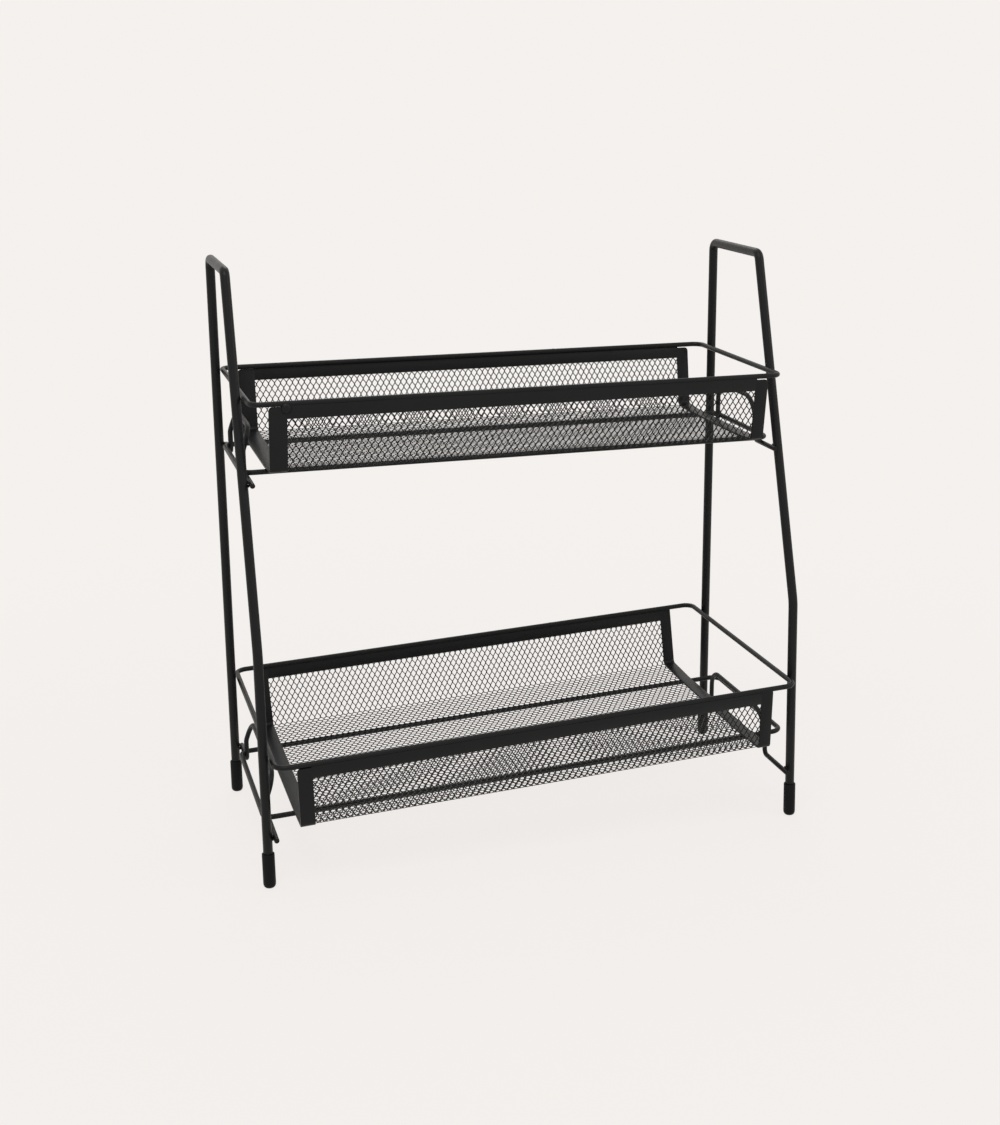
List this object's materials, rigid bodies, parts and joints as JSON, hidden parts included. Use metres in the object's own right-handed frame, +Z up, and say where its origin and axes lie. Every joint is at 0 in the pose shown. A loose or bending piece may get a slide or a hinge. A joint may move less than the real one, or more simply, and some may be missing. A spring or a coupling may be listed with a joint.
{
  "type": "two-tier kitchen rack",
  "caption": "Two-tier rack: bent-wire side frames with handle tops and foot caps hold open-ended expanded-metal trays.",
  "frame": {"origin": "on the floor, under the middle of the rack's box", "axes": "+Z up, -Y to the front, +X to the rack's right-hand end seen from the front"},
  "size_m": [0.3892, 0.2048, 0.4037],
  "materials": {
    "coated_steel": "satin powder coat",
    "coated_mesh": "satin powder coat",
    "foot_cap_plastic": "matte"
  },
  "bodies": {
    "side_frames": {"left_side_frame": "coated_steel", "right_side_frame": "coated_steel", "front_left_foot_cap": "foot_cap_plastic", "front_right_foot_cap": "foot_cap_plastic", "rear_left_foot_cap": "foot_cap_plastic", "rear_right_foot_cap": "foot_cap_plastic", "upper_left_tray_rest": "coated_steel", "upper_right_tray_rest": "coated_steel", "lower_left_tray_rest": "coated_steel", "lower_right_tray_rest": "coated_steel"},
    "upper_tray": {"upper_rim_wire": "coated_steel", "upper_base_ring": "coated_steel", "upper_front_band": "coated_steel", "upper_rear_band": "coated_steel", "upper_left_end_band": "coated_steel", "upper_right_end_band": "coated_steel", "upper_front_mesh": "coated_mesh", "upper_floor_mesh": "coated_mesh", "upper_rear_mesh": "coated_mesh"},
    "lower_tray": {"lower_rim_wire": "coated_steel", "lower_base_ring": "coated_steel", "lower_front_band": "coated_steel", "lower_rear_band": "coated_steel", "lower_left_end_band": "coated_steel", "lower_right_end_band": "coated_steel", "lower_front_mesh": "coated_mesh", "lower_floor_mesh": "coated_mesh", "lower_rear_mesh": "coated_mesh"}
  },
  "joints": [
    {"name": "upper_tray_lift", "type": "slide", "parent": "side_frames", "child": "upper_tray", "axis": [0, 0, 1], "range_m": [0, 0.034]},
    {"name": "lower_tray_lift", "type": "slide", "parent": "side_frames", "child": "lower_tray", "axis": [0, 0, 1], "range_m": [0, 0.14]}
  ]
}
